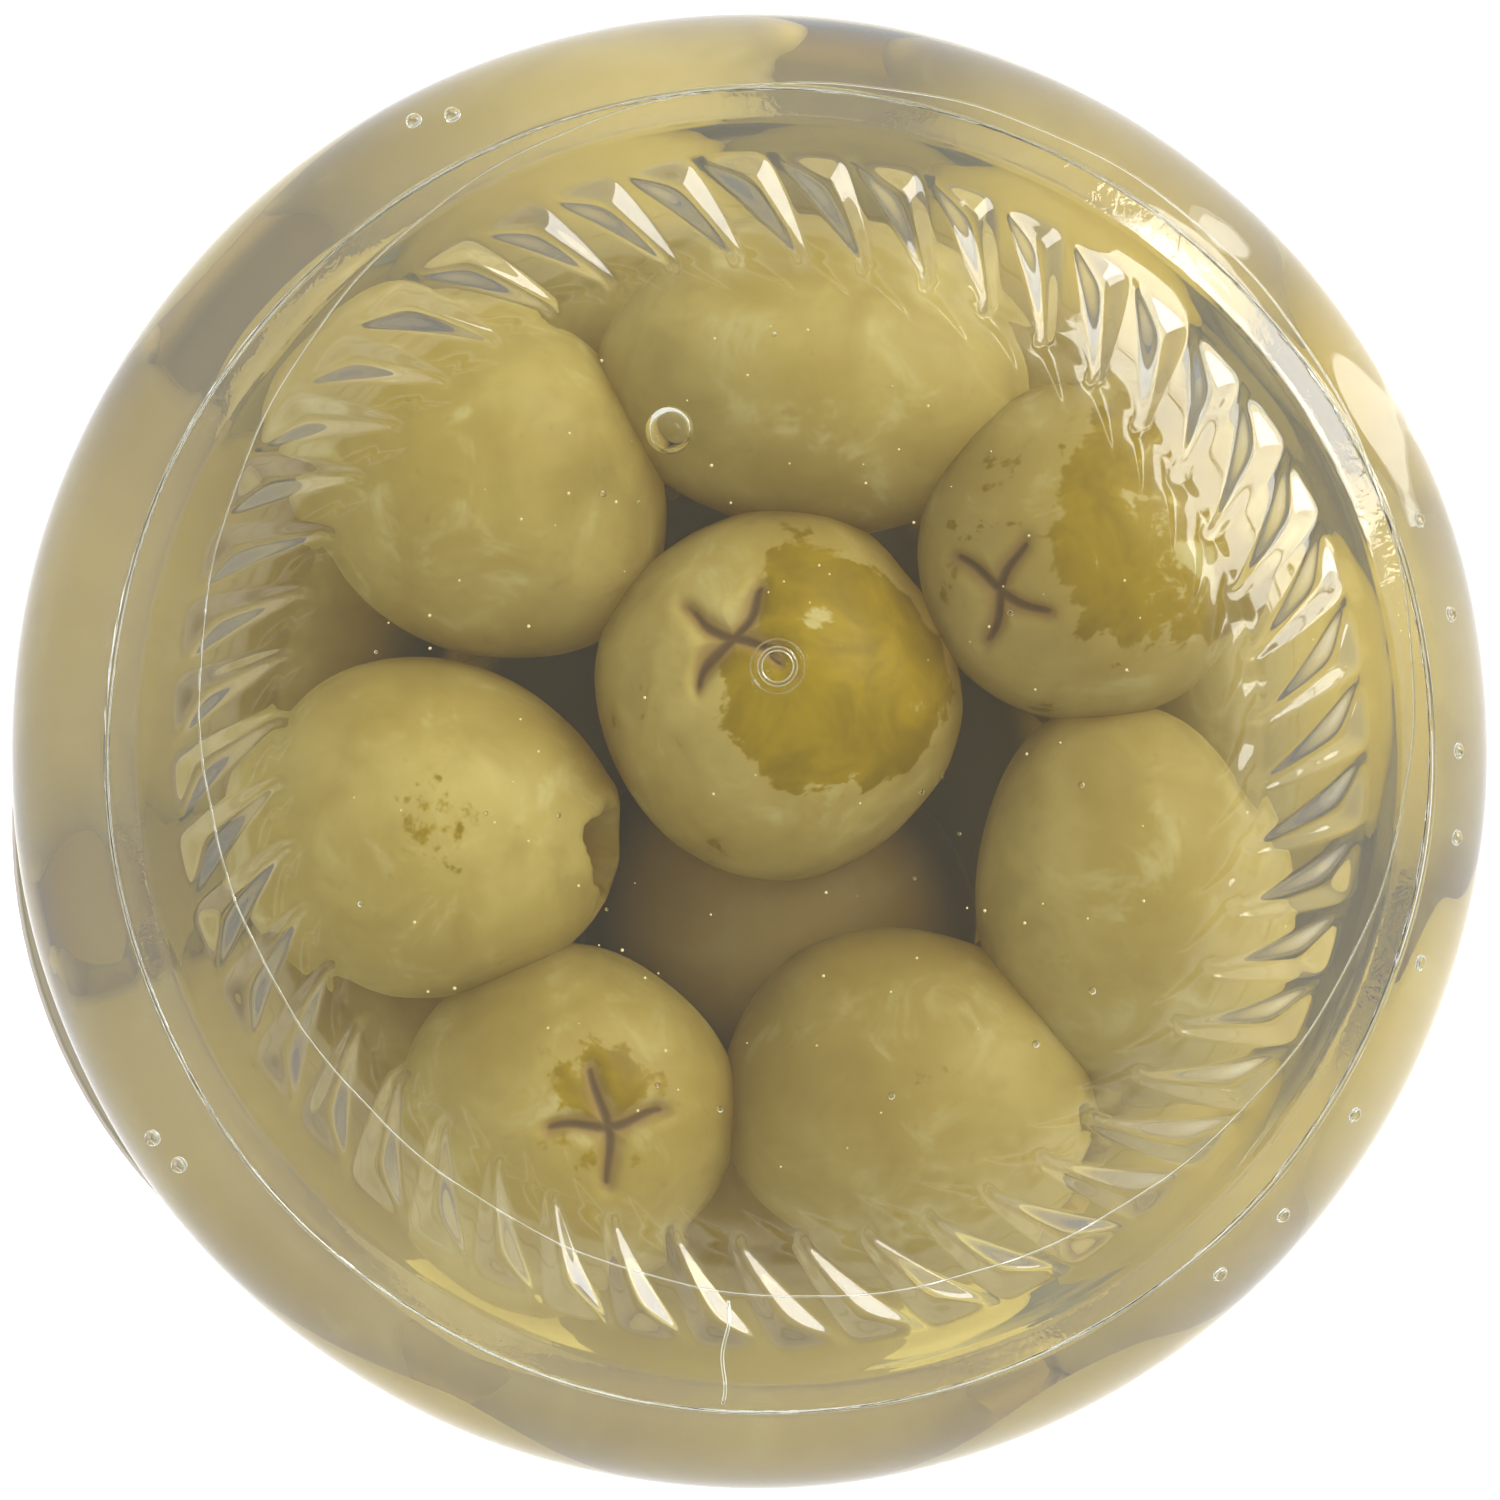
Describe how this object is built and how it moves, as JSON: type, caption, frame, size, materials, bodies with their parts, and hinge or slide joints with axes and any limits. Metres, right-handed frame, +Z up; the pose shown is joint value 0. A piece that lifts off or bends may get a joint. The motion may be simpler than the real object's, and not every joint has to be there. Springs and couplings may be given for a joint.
{
  "type": "jar of olives",
  "caption": "Clear round twist-off glass jar with a knurled base, filled with pitted green olives in brine, with a metal lid, a sealing ring and a plain wrap label.",
  "frame": {"origin": "centre of the base, in the plane that the knurls stand on", "axes": "+Z up along the jar's axis, towards the lid; -Y is the middle of the label"},
  "size_m": [0.0725, 0.0722, 0.1281],
  "materials": {
    "glass": "clear moulded flint glass",
    "brine": "pale yellow-green brine, slightly cloudy",
    "olive": "smooth wet skin, khaki to olive yellow",
    "lid_metal": "satin gold lacquer on tinplate",
    "seal": "cream plastisol",
    "label_paper": "coated paper, plain fields of colour"
  },
  "bodies": {
    "root": {"jar_glass": "glass", "brine": "brine", "gasket": "seal", "lid": "lid_metal", "label": "label_paper"}
  },
  "joints": []
}
